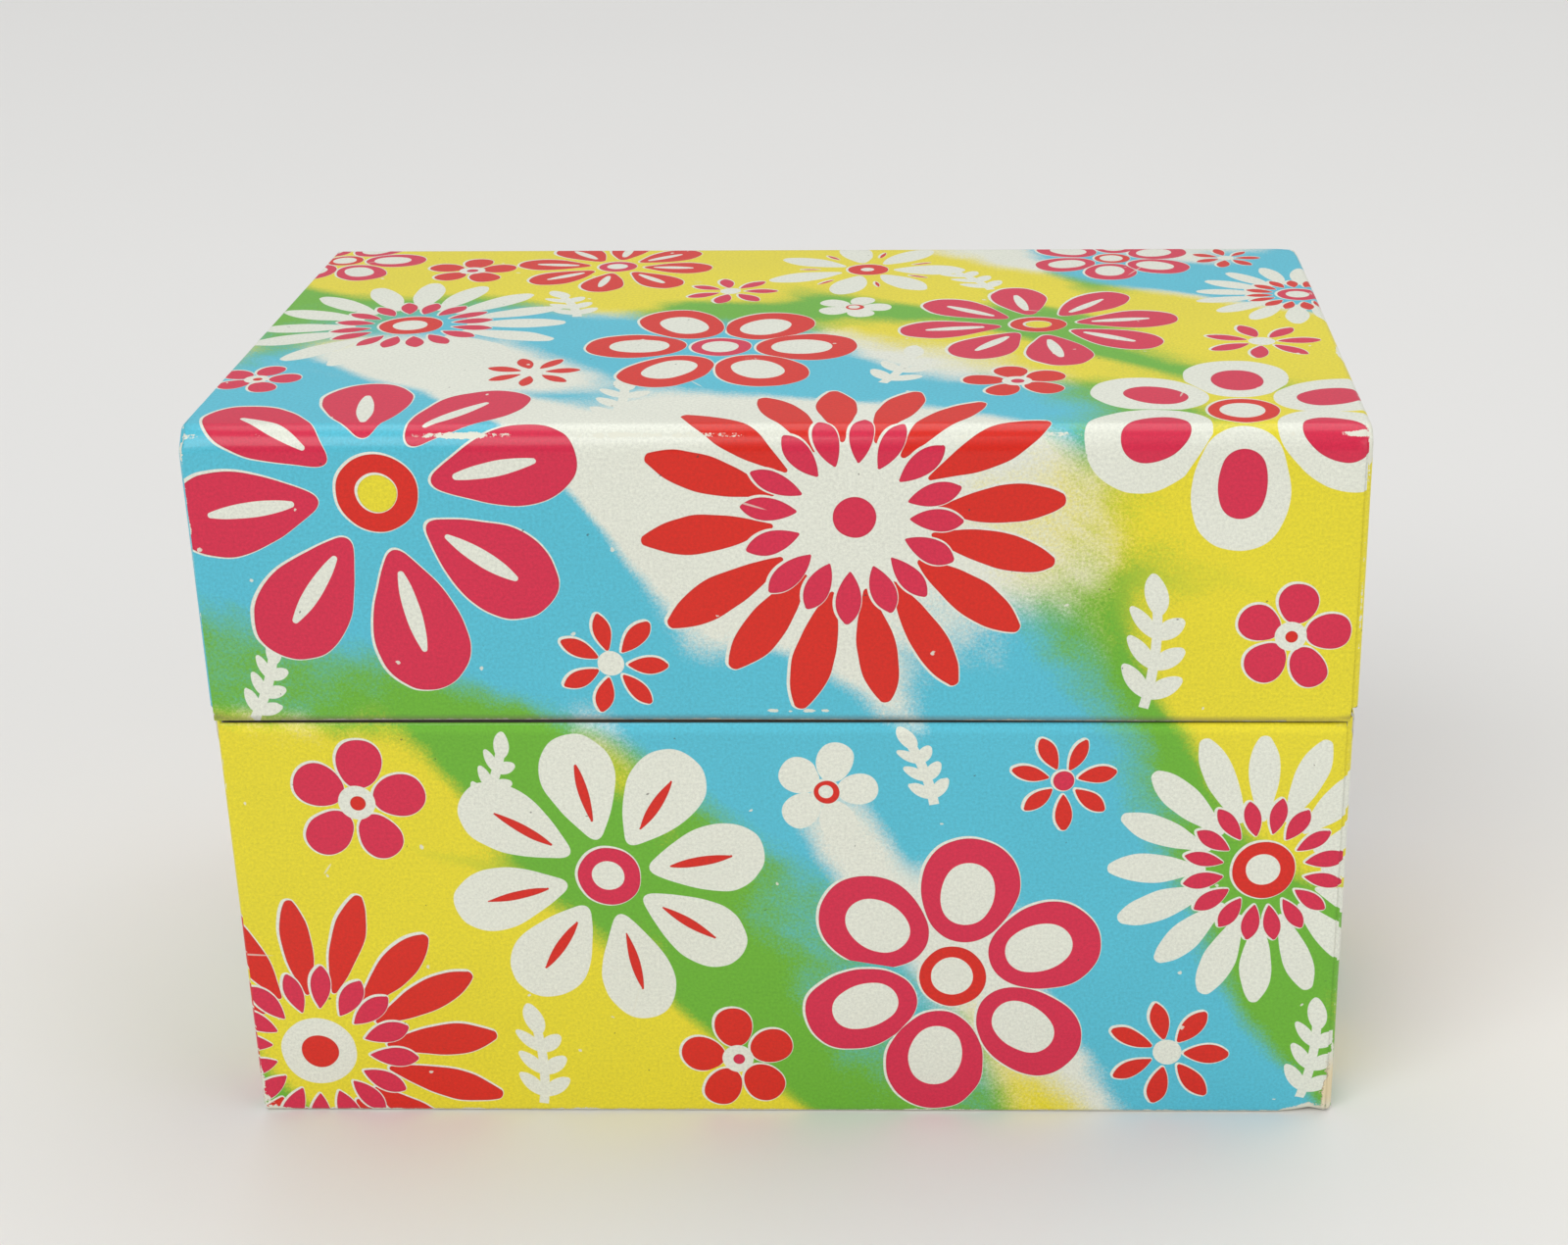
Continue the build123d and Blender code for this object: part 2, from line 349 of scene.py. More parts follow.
SMALL_BLOOMS = [
    # front of the base
    Bloom(-52, 44, 8.5, "buttercup", 10, "C-WR"),
    Bloom(47, 9, 8, "starlet", 0, "R-W-"),
    Bloom(-7, 8, 7.5, "buttercup", 25, "R-WC"),
    Bloom(33.5, 47, 6.5, "starlet", 12, "R-C-"),
    Bloom(5, 45.5, 6.5, "buttercup", 3, "W-RW"),
    # front of the lid
    Bloom(-20, 62.5, 7, "starlet", 0, "R-W-"),
    Bloom(60, 66, 7, "buttercup", 10, "C-WR"),
    # top of the lid
    Bloom(59, 125, 7.5, "starlet", 5, "C-W-"),
    Bloom(28, 108.5, 6.5, "buttercup", 30, "R-WC"),
    Bloom(-10, 149, 6.5, "starlet", 0, "C-W-"),
    Bloom(-47, 160, 6.5, "buttercup", 15, "R-WC"),
    Bloom(-31, 112.5, 6, "starlet", 10, "R-W-"),
    Bloom(-64, 110, 5.5, "buttercup", 5, "C-WR"),
    Bloom(58, 166, 5, "starlet", 0, "R-W-"),
    Bloom(7, 141, 5, "buttercup", 0, "W-RW"),
    # sides
    Bloom(80, 52, 8, "starlet", 0, "C-W-"),
    Bloom(123, 8, 7.5, "buttercup", 0, "W-RW"),
    Bloom(143, 8, 6, "starlet", 0, "R-W-"),
    Bloom(146, 56, 5.5, "buttercup", 0, "C-WR"),
    Bloom(-79, 49, 8.5, "starlet", 0, "R-W-"),
    Bloom(-120, 8, 7, "buttercup", 0, "W-RW"),
    Bloom(-146, 50, 5.5, "starlet", 0, "C-W-"),
    Bloom(-98, 57, 5.5, "buttercup", 8, "R-WC"),
    Bloom(95, 162, 8, "starlet", 0, "R-W-"),
    Bloom(77, 166, 5.5, "buttercup", 0, "C-WR"),
    Bloom(99, 126, 5, "starlet", 0, "R-W-"),
    Bloom(-95, 163, 7.5, "buttercup", 0, "C-WR"),
    Bloom(-99, 130, 5, "starlet", 0, "R-W-"),
    # back
    Bloom(239, 60, 9, "buttercup", 0, "R-WR"),
    Bloom(344, 60, 9, "starlet", 0, "W-C-"),
    Bloom(291, 64, 8, "starlet", 0, "C-W-"),
    Bloom(313, 8, 7, "buttercup", 0, "C-WR"),
    Bloom(270, 8, 7, "starlet", 0, "R-W-"),
    Bloom(56, 181, 5, "starlet", 0, "R-W-"),
    Bloom(26, 181, 5, "buttercup", 0, "C-WR"),
    Bloom(-1, 181, 5, "starlet", 0, "R-W-"),
    Bloom(-34, 181, 5, "buttercup", 0, "C-WR"),
    Bloom(-60, 181, 5, "starlet", 0, "W-R-"),
]

# Leafy white sprigs: foot, length, and the way they grow in degrees
Sprig = namedtuple("Sprig", "across up length turn")
SPRIGS = [
    Sprig(-32, 1.5, 12, 82),
    Sprig(64, 2.5, 12, 72),
    Sprig(-37, 43, 9, 60),
    Sprig(18, 44, 9, 100),
    Sprig(43, 57, 14, 75),
    Sprig(-63, 55.5, 9, 60),
    Sprig(-19, 94, 13, 80),
    Sprig(-29, 137, 11, 100),
    Sprig(12, 108, 13, 65),
    Sprig(25, 150, 11, 110),
    Sprig(75, 2, 12, 80),
    Sprig(101, 49, 11, 80),
    Sprig(118, 38, 11, 80),
    Sprig(-91, 2, 12, 85),
    Sprig(-123, 36, 11, 95),
    Sprig(267, 36, 13, 90),
    Sprig(317, 36, 13, 95),
]
BACK_START = 291  # where the middle of the base's back reads the flat print

# Printing, in millimetres
KEYLINE = 0.20        # bare white left round each inked shape
SLIP = 0.15           # how far the inks slipped against the ground
SLIP_WAY = radians(-35)
INK_EDGE = 0.045      # half the softness of an ink's edge
SQUEEZE = 0.22        # ink gathers along its edge, over this much
SQUEEZE_SHADE = 0.84
OVERLAP_SHADE = 0.68  # of ink that reaches past the keyline, over the ground's ink
WOBBLE = 0.6          # how far the outlines wander
WOBBLE_SCALE = 0.17

# How much the petals of a bloom differ: in radians, then as shares of their size
TURN_SPREAD = 0.07
LEAST_LENGTH, LENGTH_SPREAD = 0.93, 0.09
LEAST_WIDTH, WIDTH_SPREAD = 0.92, 0.16

# Sprigs: the stem's half width in millimetres, its bend and the pitch of its leaves as shares of
# its length, and the leaves as shares of the pitch
STEM = 0.4
STEM_BEND = 0.18
LEAF_PITCH = 0.27
LEAF_LEAN = radians(48)
LEAF_FOOT = 0.35
HALF_LEAF = 0.62
LEAF_SHRINK = 0.12    # millimetres that each next pair is shorter by
LEAF_WIDTH = 0.40     # as a share of the leaf's length
BUD_WIDTH = 0.34
LEAF_TIPS = 0.35


def lens_group():
    """How far inside a pointed or rounded lens shape a point is, and its outline's direction."""
    tree, (x, y, half_length, half_width, tips), end = new_group(
        "lens", ("x", "y", "half_length", "half_width", "tips"), ("inside", "normal_x", "normal_y")
    )
    rounding = half_width * tips
    long = (half_length - rounding).most(0.02)
    wide = (half_width - rounding).most(0.02)
    offset = ((long * long - wide * wide) / (wide * 2.0)).most(0.0)
    side, along = abs(y), abs(x)
    at_tip = ((along - long) * offset).over(side * long)
    from_arc = length_of(x, side + offset)
    tip_x = along - long
    from_tip = length_of(tip_x, side)
    outside = choose(at_tip, from_tip, from_arc - (offset + wide))
    sign_x, sign_y = x.math("SIGN"), y.math("SIGN")
    reach = choose(at_tip, from_tip, from_arc).most(0.001)
    normal_x = choose(at_tip, tip_x, along) / reach * sign_x
    normal_y = choose(at_tip, side, side + offset) / reach * sign_y
    for socket, value in zip(end.inputs, (rounding - outside, normal_x, normal_y)):
        plug(socket, value)
    return tree


def petal_ring_group(lens):
    """How far inside one ring of petals a point is, and how much the outline faces the slip."""
    labels = (
        "x", "y", "radius", "turn", "petals", "step", "middle", "half_length", "half_width",
        "tips", "widen", "seed",
    )
    tree, terms, end = new_group("petal_ring", labels, ("inside", "facing"))
    x, y, radius, turn, petals, step, middle, half_length, half_width, tips, widen, seed = terms
    bearing = y.math("ARCTAN2", x)
    turned = (bearing - turn) * petals / tau - step
    number = (turned + 0.5).math("FLOOR")
    chance = tree.nodes.new("ShaderNodeTexWhiteNoise")
    chance.noise_dimensions = "2D"
    wrapped = number.math("FLOORED_MODULO", petals)
    plug(chance.inputs["Vector"], joined(tree, wrapped, seed))
    luck_a, luck_b, luck_c = split(tree, chance.outputs["Color"])
    axis = (number + step) / petals * tau + turn + (luck_a - 0.5) * TURN_SPREAD
    away = bearing - axis
    distance = length_of(x, y)
    size = luck_b * LENGTH_SPREAD + LEAST_LENGTH
    along = distance * away.math("COSINE") - radius * middle * size
    across = distance * away.math("SINE")
    long = radius * half_length * size
    wide = radius * half_width * (luck_c * WIDTH_SPREAD + LEAST_WIDTH)
    swell = ((along / long) * widen + 1.0).most(0.3)
    inside, normal_x, normal_y = use_group(tree, lens, along, across / swell, long, wide, tips)
    slip = -axis + SLIP_WAY
    facing = normal_x * slip.math("COSINE") + normal_y * slip.math("SINE")
    plug(end.inputs["inside"], inside)
    plug(end.inputs["facing"], facing)
    return tree


def sprig_group(lens):
    """How far inside a leafy sprig a point is: three pairs of leaves and a bud, along x."""
    tree, (x, y, length), end = new_group("sprig", ("x", "y", "length"), ("inside",))
    share = x / length
    bent = y - share * share * length * STEM_BEND
    side = abs(bent)
    stem = (-side + STEM).least(x).least(length - x)
    pitch = length * LEAF_PITCH
    number = (x / pitch - 0.25).math("FLOOR").most(0.0).least(2.0)
    foot = x - (number + LEAF_FOOT) * pitch
    along = foot * cos(LEAF_LEAN) + side * sin(LEAF_LEAN)
    across = side * cos(LEAF_LEAN) - foot * sin(LEAF_LEAN)
    half = pitch * HALF_LEAF - number * LEAF_SHRINK
    pair = use_group(tree, lens, along - half, across, half, half * LEAF_WIDTH, LEAF_TIPS)[0]
    bud_size = pitch * HALF_LEAF, pitch * BUD_WIDTH
    bud = use_group(tree, lens, x - length, bent, *bud_size, LEAF_TIPS)[0]
    plug(end.inputs["inside"], stem.most(pair).most(bud))
    return tree


def printed_shape(tree, colour, inside, facing, ink, chart):
    """One printed shape and its white keyline, over the colour below. White ink doesn't slip."""
    shown = ink.over(INKS.index("-") + 0.5)
    inked = ink.over(INKS.index("W") + 0.5)
    hole = (inside + KEYLINE).fade(-INK_EDGE, INK_EDGE) * shown
    bare = blended(tree, colour, WHITE, hole)
    slipped = inside + facing * SLIP * inked
    cover = slipped.fade(-INK_EDGE, INK_EDGE) * shown
    paint, = use_group(tree, chart, ink)
    overlap = hole * (1 - OVERLAP_SHADE) + OVERLAP_SHADE
    edge = slipped.fade(0.02, SQUEEZE) * (1 - SQUEEZE_SHADE) + SQUEEZE_SHADE
    deep = times(tree, paint, choose(inked, overlap * edge, 1.0))
    return blended(tree, bare, deep, cover)


def ink_chart_group():
    """Colour of an ink by its number."""
    tree, (ink,), end = new_group("ink_chart", ("ink",), ("colour",), {"colour": "Color"})
    chart = tree.nodes.new("ShaderNodeValToRGB")
    chart.color_ramp.interpolation = "CONSTANT"
    elements = chart.color_ramp.elements
    count = len(INK_CHART)
    while len(elements) < count:
        elements.new(0.5)
    for number, element in enumerate(elements):
        element.position = number / count
        element.color = INK_CHART[number]
    plug(chart.inputs[0], (ink + 0.5) / float(count))
    plug(end.inputs[0], Term(tree, chart.outputs[0]))
    return tree


def bloom_layer(tree, colour, across, up, layer, groups):
    """Draws the bloom that each face belongs to, over the colour below."""
    petal_ring, chart = groups["petal_ring"], groups["ink_chart"]
    centre_x, centre_y, radius, turn = attribute(tree, layer + "_place")
    petals, middle, half_length, half_width = attribute(tree, layer + "_outer")
    step, inner_middle, inner_length, inner_width = attribute(tree, layer + "_inner")
    tips, widen, inner_tips, inner_widen = attribute(tree, layer + "_shape")
    petal, inner, disc_ink, core_ink = attribute(tree, layer + "_inks")
    disc, core, seed, _ = attribute(tree, layer + "_centre")
    x, y = across - centre_x, up - centre_y
    place = joined(tree, across, up)
    wobble = (noise_at(tree, place, WOBBLE_SCALE, 1.0) - 0.5) * WOBBLE
    inside, facing = use_group(
        tree, petal_ring, x, y, radius, turn, petals, 0.0, middle, half_length, half_width, tips,
        widen, seed,
    )
    colour = printed_shape(tree, colour, inside + wobble, facing, petal, chart)
    inside, facing = use_group(
        tree, petal_ring, x, y, radius, turn, petals, step, inner_middle, inner_length,
        inner_width, inner_tips, inner_widen, seed,
    )
    colour = printed_shape(tree, colour, inside + wobble * 0.5, facing, inner, chart)
    distance = length_of(x, y)
    facing = (x * cos(SLIP_WAY) + y * sin(SLIP_WAY)) / distance.most(0.001)
    colour = printed_shape(tree, colour, radius * disc - distance + wobble, facing, disc_ink, chart)
    return printed_shape(tree, colour, radius * core - distance + wobble, facing, core_ink, chart)


def sprig_layer(tree, colour, across, up, groups):
    """Draws the sprig that each face belongs to, over the colour below."""
    foot_x, foot_y, length, turn = attribute(tree, "sprig_place")
    x, y = across - foot_x, up - foot_y
    cosine, sine = turn.math("COSINE"), turn.math("SINE")
    inside, = use_group(
        tree, groups["sprig"], x * cosine + y * sine, y * cosine - x * sine, length.most(1.0)
    )
    return blended(tree, colour, WHITE, (inside + KEYLINE).fade(-INK_EDGE, INK_EDGE))


SPRAY_WAY = radians(-38)       # the sprays sweep this way across the print
SPRAY_START = (940.0, 1210.0)  # where on the endless pattern of sweeps the print begins
SPATTER, STREAKS, PUFFS = 0.045, 0.022, 0.06  # how much each roughens the fringe of a spray
YELLOW_FRINGE = (0.475, 0.53)
TURQUOISE_FRINGE = (-0.026, 0.031)
GAP_FRINGE = (0.42, 0.49)      # of the gaps in the turquoise


def sprayed_ground(tree, across, up):
    """Yellow and turquoise sprayed on white in soft sweeps. Where both lie, they make green."""
    across, up = across + SPRAY_START[0], up + SPRAY_START[1]
    along = across * cos(SPRAY_WAY) + up * sin(SPRAY_WAY)
    aside = up * cos(SPRAY_WAY) - across * sin(SPRAY_WAY)
    place = joined(tree, across, up)
    spatter = noise_at(tree, place, 2.6, 2.0, 0.85) - 0.5
    streaks = noise_at(tree, joined(tree, along * 0.10, aside * 0.45), 1.0, 3.0, 0.65) - 0.5
    puffs = noise_at(tree, place, 0.10, 2.0, 0.6) - 0.5
    fringe = spatter * SPATTER + streaks * STREAKS + puffs * PUFFS
    sweep = noise_at(tree, joined(tree, along * 0.0070, aside * 0.0150), 1.0, 1.0, 0.4, 0.5)
    drift = noise_at(tree, joined(tree, along * 0.0120, aside * 0.0260, 4.0), 1.0, 1.0, 0.5, 0.3)
    yellow = (sweep + fringe).fade(*YELLOW_FRINGE)
    turquoise = (drift * 1.1 - sweep - fringe).fade(*TURQUOISE_FRINGE)
    gaps = noise_at(tree, joined(tree, along * 0.0130, aside * 0.0300, 9.0), 1.0, 1.0, 0.5, 0.6)
    turquoise = turquoise * (gaps + fringe * 1.4).fade(*GAP_FRINGE)
    plain = blended(tree, WHITE, TURQUOISE, turquoise)
    over_yellow = blended(tree, YELLOW, GREEN, turquoise)
    return blended(tree, plain, over_yellow, yellow)


# ---------------------------------------------------------------- wear, and painted shade and highlight at the seam

# Scattered marks: cells per millimetre, share of the cells that have one, and its longest half
# length and its half width in cells
CHIPS = (0.075, 0.45, 0.034, 0.020)
SCRATCHES = (0.030, 0.5, 0.13, 0.0045)
SCUFFS = (0.021, 0.4, 0.05, 0.012)
SPECKS = (0.11, 0.3, 0.022, 0.016)

# Painted glints: pale dashes in the bare-tin colour above the lid's lower edge: place on the print,
# half length, half height
GLINT_DASHES = [
    (-1.1, 56.3, 0.85, 0.24),
    (1.0, 56.2, 0.30, 0.14),
    (3.3, 56.3, 0.85, 0.22),
    (5.2, 56.3, 0.55, 0.20),
]

# Painted shade and highlight along the seam, in millimetres from it
HEM_SHADOW = (1.0, 0.10)       # painted shade: the lid's hem darkens from here down to here, above the seam
SHOULDER_HIGHLIGHT_BAND = (1.9, 0.8)   # painted highlight on the base's rounded shoulder, from here up to here below the seam
SEAM_CREASE_SHADE = (2.2, 0.3)             # painted shade in the narrow crease at the foot of the neck


def marks_group():
    """Scattered marks, each tapering to its ends: 1 on a mark."""
    labels = ("place", "scale", "share", "length", "width")
    tree, terms, end = new_group("marks", labels, ("mark",), {"place": "Vector"})
    place, scale, share, length, width = terms
    cells = tree.nodes.new("ShaderNodeTexVoronoi")
    cells.voronoi_dimensions = "2D"
    plug(cells.inputs["Vector"], place)
    plug(cells.inputs["Scale"], scale)
    x, y, _ = split(tree, place.socket)
    centre_x, centre_y, _ = split(tree, cells.outputs["Position"])
    luck_a, luck_b, luck_c = split(tree, cells.outputs["Color"])
    away_x, away_y = (x - centre_x) * scale, (y - centre_y) * scale
    turn = luck_a * pi
    cosine, sine = turn.math("COSINE"), turn.math("SINE")
    along = away_x * cosine + away_y * sine
    across = away_y * cosine - away_x * sine + along * along * (luck_b - 0.5) * 0.8
    reach = length * (luck_b * 0.8 + 0.2)
    outside = length_of(along / reach, across / width)
    plug(end.inputs[0], outside.fade(1.0, 0.65) * share.over(luck_c))
    return tree


def print_material(name, groups):
    """Printed and varnished tinplate."""
    material, tree, shader = new_material(name)
    uv = tree.nodes.new("ShaderNodeUVMap")
    uv.uv_map = "print"
    across, up, _ = split(tree, uv.outputs[0])
    place = joined(tree, across, up)
    colour = sprayed_ground(tree, across, up)
    colour = sprig_layer(tree, colour, across, up, groups)
    colour = bloom_layer(tree, colour, across, up, "large", groups)
    colour = bloom_layer(tree, colour, across, up, "small", groups)

    grain = noise_at(tree, place, 2.7, 2.0, 0.8)
    cloud = noise_at(tree, place, 0.06, 3.0, 0.6)
    colour = times(tree, colour, grain * 0.58 + cloud * 0.10 + 0.67)

    # Bare margins of the bends and edges, wider where they were knocked
    edge, rub, seam, hemmed = attribute(tree, "wear")
    ragged = noise_at(tree, place, 0.8, 4.0, 0.75) - 0.5
    patchy = noise_at(tree, place, 0.09, 2.0, 0.5) - 0.52
    margin = rub * (ragged * 2.2 + patchy * 3.0 + 1.0) + ragged * 0.25 - edge
    rubbed = margin.fade(0.0, 0.10)
    knocked = rub.fade(0.8, 1.6)
    bare_tin = blended(tree, WHITE, PRIMER, knocked * 0.8 + 0.1)
    torn_rim = margin.fade(0.0, 0.06) * margin.fade(0.34, 0.16) * knocked
    bare_tin = blended(tree, bare_tin, RUST, torn_rim * 0.55)

    # Chips, scratches and specks
    jagged = noise_at(tree, place, 1.4, 2.0, 0.7) - 0.5
    jagged = joined(tree, across + jagged * 0.7, up + jagged * 0.5)
    marks = groups["marks"]
    chips, = use_group(tree, marks, jagged, *CHIPS)
    scratches, = use_group(tree, marks, place, *SCRATCHES)
    scuffs, = use_group(tree, marks, jagged, *SCUFFS)
    specks, = use_group(tree, marks, jagged, *SPECKS)
    scuffs = scuffs * noise_at(tree, place, 1.6, 2.0, 0.8).fade(0.48, 0.58)
    bare = rubbed.most(chips * 0.85).most(scratches * 0.55).most(scuffs * 0.5)
    # Painted glints above the lid's lower edge, drawn as bare tin
    for middle, height, half_length, half_height in GLINT_DASHES:
        away = length_of((across - middle) / half_length, (up - height) / half_height)
        bare = bare.most((away + ragged * 2.2).fade(1.0, 0.75) * 0.9)
    colour = blended(tree, colour, bare_tin, bare)
    colour = blended(tree, colour, SOOT_AND_SHADE, specks * 0.65)

    # Painted shade on the lid's rounded hem above the seam, and a painted highlight on the base's
    # shoulder below it
    # Painted highlight: the base's shoulder below the seam is made paler, as where its bend catches
    # the light
    shoulder = seam.fade(*SHOULDER_HIGHLIGHT_BAND) * (-hemmed + 1.0)
    colour = times(tree, colour, shoulder * 0.13 + 1.0)
    # Painted shade: the hem that turns under is darkened and tinted towards HEM_SHADE
    hem = (seam + ragged * 0.15).fade(*HEM_SHADOW) * hemmed
    colour = times(tree, colour, hem * -0.5 + 1.0)
    colour = blended(tree, colour, HEM_SHADE, hem * 0.2)
    plug(shader.inputs["Base Color"], colour)

    smudge = noise_at(tree, place, 0.035, 4.0, 0.65)
    plug(shader.inputs["Roughness"], smudge * 0.16 + bare * 0.25 + 0.30)
    shader.inputs["Specular IOR Level"].default_value = 0.32
    shader.inputs["Coat Weight"].default_value = 0.30
    shader.inputs["Coat Roughness"].default_value = 0.16
    peel = noise_at(tree, place, 0.8, 2.0)
    bump(tree, shader, peel * 0.5 + grain * 0.15 - bare * 1.5, 0.012 * MM)
    return material


def enamel_material(name):
    """Plain roller-coated enamel of the inside, the neck and the underside, with painted shade at
    the seam.
    """
    material, tree, shader = new_material(name)
    place = object_place(tree)
    x, y, z = split(tree, place.socket)
    cloud = noise_at(tree, place, 0.05, 3.0, 0.6)
    grain = noise_at(tree, place, 2.5, 2.0, 0.7)
    roller = noise_at(tree, joined(tree, x * 0.08, y * 1.6, z * 1.6), 1.0, 2.0)
    colour = blended(tree, CREAM, WHITE, cloud.fade(0.35, 0.65) * 0.6)
    colour = times(tree, colour, grain * 0.06 + roller * 0.05 + 0.93)
    streaks = noise_at(tree, joined(tree, x * 0.25, y * 0.25, z * 1.8), 1.2, 4.0, 0.7)
    scuffs = streaks.fade(0.66, 0.72) * 0.5
    colour = blended(tree, colour, TIN, scuffs)
    seam = attribute(tree, "wear")[2]
    # Painted shade: the neck's enamel darkens towards soot brown in the crease under the lid's edge
    crease_shade = (seam + (streaks - 0.5) * 1.5).fade(*SEAM_CREASE_SHADE)
    colour = blended(tree, colour, SOOT_AND_SHADE, crease_shade * 0.9)
    plug(shader.inputs["Base Color"], colour)
    plug(shader.inputs["Roughness"], cloud * 0.15 + scuffs * 0.1 + 0.36)
    bump(tree, shader, roller + grain * 0.3, 0.01 * MM)
    return material


def edge_material(name):
    """Raw cut edge of the sheet: tinplate, here and there rusted."""
    material, tree, shader = new_material(name)
    place = object_place(tree)
    rust = noise_at(tree, place, 0.7, 4.0, 0.7).fade(0.55, 0.7)
    paint = noise_at(tree, place, 0.35, 3.0, 0.6).fade(0.42, 0.55)
    colour = blended(tree, TIN, RUST, rust * 0.6)
    colour = blended(tree, colour, CREAM, paint * 0.8)
    plug(shader.inputs["Base Color"], colour)
    plug(shader.inputs["Metallic"], (paint * -0.8 + 0.8) * (rust * -0.8 + 1.0))
    plug(shader.inputs["Roughness"], rust * 0.3 + 0.38)
    return material


def steel_material(name, tint):
    """Tinned steel, brushed along the hinge, here and there rusted."""
    material, tree, shader = new_material(name)
    place = object_place(tree)
    x, y, z = split(tree, place.socket)
    brushed = noise_at(tree, joined(tree, x * 0.25, y * 6.0, z * 6.0), 1.0, 3.0, 0.7)
    stain = noise_at(tree, place, 0.35, 4.0, 0.65)
    rusted = stain.fade(0.60, 0.74)
    colour = times(tree, tint[:3], brushed * 0.25 + 0.85)
    colour = blended(tree, colour, RUST, rusted * 0.55)
    plug(shader.inputs["Base Color"], colour)
    plug(shader.inputs["Metallic"], rusted * -0.4 + 0.75)
    plug(shader.inputs["Roughness"], brushed * 0.22 + stain.fade(0.5, 0.75) * 0.3 + 0.25)
    bump(tree, shader, brushed, 0.01 * MM)
    return material


# ---------------------------------------------------------------- shells

def grid_lines(low, high):
    """Evenly spaced places from low to high, about one grid step apart."""
    count = max(1, round((high - low) / GRID))
    return [low + (high - low) * step / count for step in range(count + 1)]


def worked_copy(node, lines):
    """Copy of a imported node's mesh, with flat faces merged and then cut along a grid."""
    bm = bmesh.new()
    bm.from_mesh(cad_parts[node].data)
    bmesh.ops.remove_doubles(bm, verts=bm.verts, dist=HAIR / 10)
    bmesh.ops.dissolve_limit(bm, angle_limit=radians(0.1), verts=bm.verts, edges=bm.edges)
    for axis, places in enumerate(lines):
        normal = Vector((0, 0, 0))
        normal[axis] = 1
        for place in places:
            everything = bm.verts[:] + bm.edges[:] + bm.faces[:]
            bmesh.ops.bisect_plane(
                bm, geom=everything, dist=HAIR / 20, plane_co=normal * place, plane_no=normal
            )
    bm.normal_update()
    return bm


PRINTED, ENAMELLED, CUT_EDGE = range(3)
THICKEST_SKIN = 1.3 * MM   # metal behind a face that is thicker than this has a cut edge there


def face_roles(bm, middle, plain):
    """Finish of each face: outward faces are printed, inward and plain ones are enamelled."""
    tree = BVHTree.FromBMesh(bm)
    for face in bm.faces:
        centre, normal = face.calc_center_median(), face.normal
        behind = tree.ray_cast(centre - normal * 2 * HAIR, -normal)[3]
        if abs(normal.z) < 0.5 and (behind is None or behind > THICKEST_SKIN):
            face.material_index = CUT_EDGE
        elif normal.dot(centre - middle) > 0 and not plain(centre, normal):
            face.material_index = PRINTED
        else:
            face.material_index = ENAMELLED


def strap_place(y, z, front):
    """Distance up the flat print, over the brow and the top, for a point of the lid's strap."""
    level = TOP - BROW
    back = BASE[1].y
    quarter = BROW * pi / 2
    if y < front + BROW and z > level:
        return level + BROW * atan2(z - level, front + BROW - y)
    if y > back - BROW and z > level:
        across_top = back - front - 2 * BROW
        return level + quarter + across_top + BROW * atan2(y - back + BROW, z - level)
    if z > level:
        return level + quarter + y - front - BROW
    if y > (front + back) / 2:
        return level + 2 * quarter + back - front - 2 * BROW + level - z
    return z


def lid_print_place(point, normal):
    """Place on the flat print of a point of the lid."""
    front, side = LID[0].y, LID[1].x
    x, y, z = point
    bend = side - FOLD
    if abs(x) > bend - 1e-7 and (abs(normal.x) > 0.3 or abs(x) > bend + FOLD / 2):
        turn = pi / 2 if z < TOP - FOLD else atan2(abs(x) - bend, z - TOP + FOLD)
        down = bend + FOLD * turn + max(0.0, TOP - FOLD - z)
        level = TOP - BROW + BROW * pi / 2
        return (down if x > 0 else -down), level + y - front - BROW
    return x, strap_place(y, z, front)


def base_print_place(point, normal):
    """Place on the flat print of a point of the base. The sides carry on from the front."""
    front, side = BASE[0].y, BASE[1].x
    x, y, z = point
    if abs(normal.x) > 0.5:
        out = side + y - front
        return (out if x > 0 else -out), z
    if y > 0:
        return BACK_START * MM - x, z
    return x, z


def nearest(spots, motifs):
    """For each spot, the number of the motif whose circle (middle and radius) it is deepest in."""
    across, up, radius = np.array(motifs, float).T
    away = np.hypot(spots[:, :1] - across, spots[:, 1:] - up)
    return np.argmin(away / radius, axis=1)


def bloom_numbers(bloom, number):
    """What the shader reads of a bloom, by attribute."""
    style = STYLES[bloom.style]
    outer, inner = style.outer, style.inner
    return {
        "place": (bloom.across, bloom.up, bloom.radius, radians(bloom.turn)),
        "outer": (style.petals, outer.middle, outer.half_length, outer.half_width),
        "inner": (style.inner_turn, inner.middle, inner.half_length, inner.half_width),
        "shape": (outer.tips, outer.widen, inner.tips, inner.widen),
        "inks": [INKS.index(letter) for letter in bloom.inks],
        "centre": (style.disc, style.core, number, 0),
    }


def sprig_circle(sprig):
    """Middle and radius of the circle round a sprig."""
    half, turn = sprig.length / 2, radians(sprig.turn)
    return sprig.across + half * cos(turn), sprig.up + half * sin(turn), half


def write_face_numbers(mesh, layer, picked, rows):
    """Writes each face's numbers from the row that it picked."""
    for label in rows[0]:
        made = mesh.attributes.new(f"{layer}_{label}", "FLOAT_COLOR", "FACE")
        table = np.array([row[label] for row in rows], np.float32)
        made.data.foreach_set("color", table[picked].ravel())


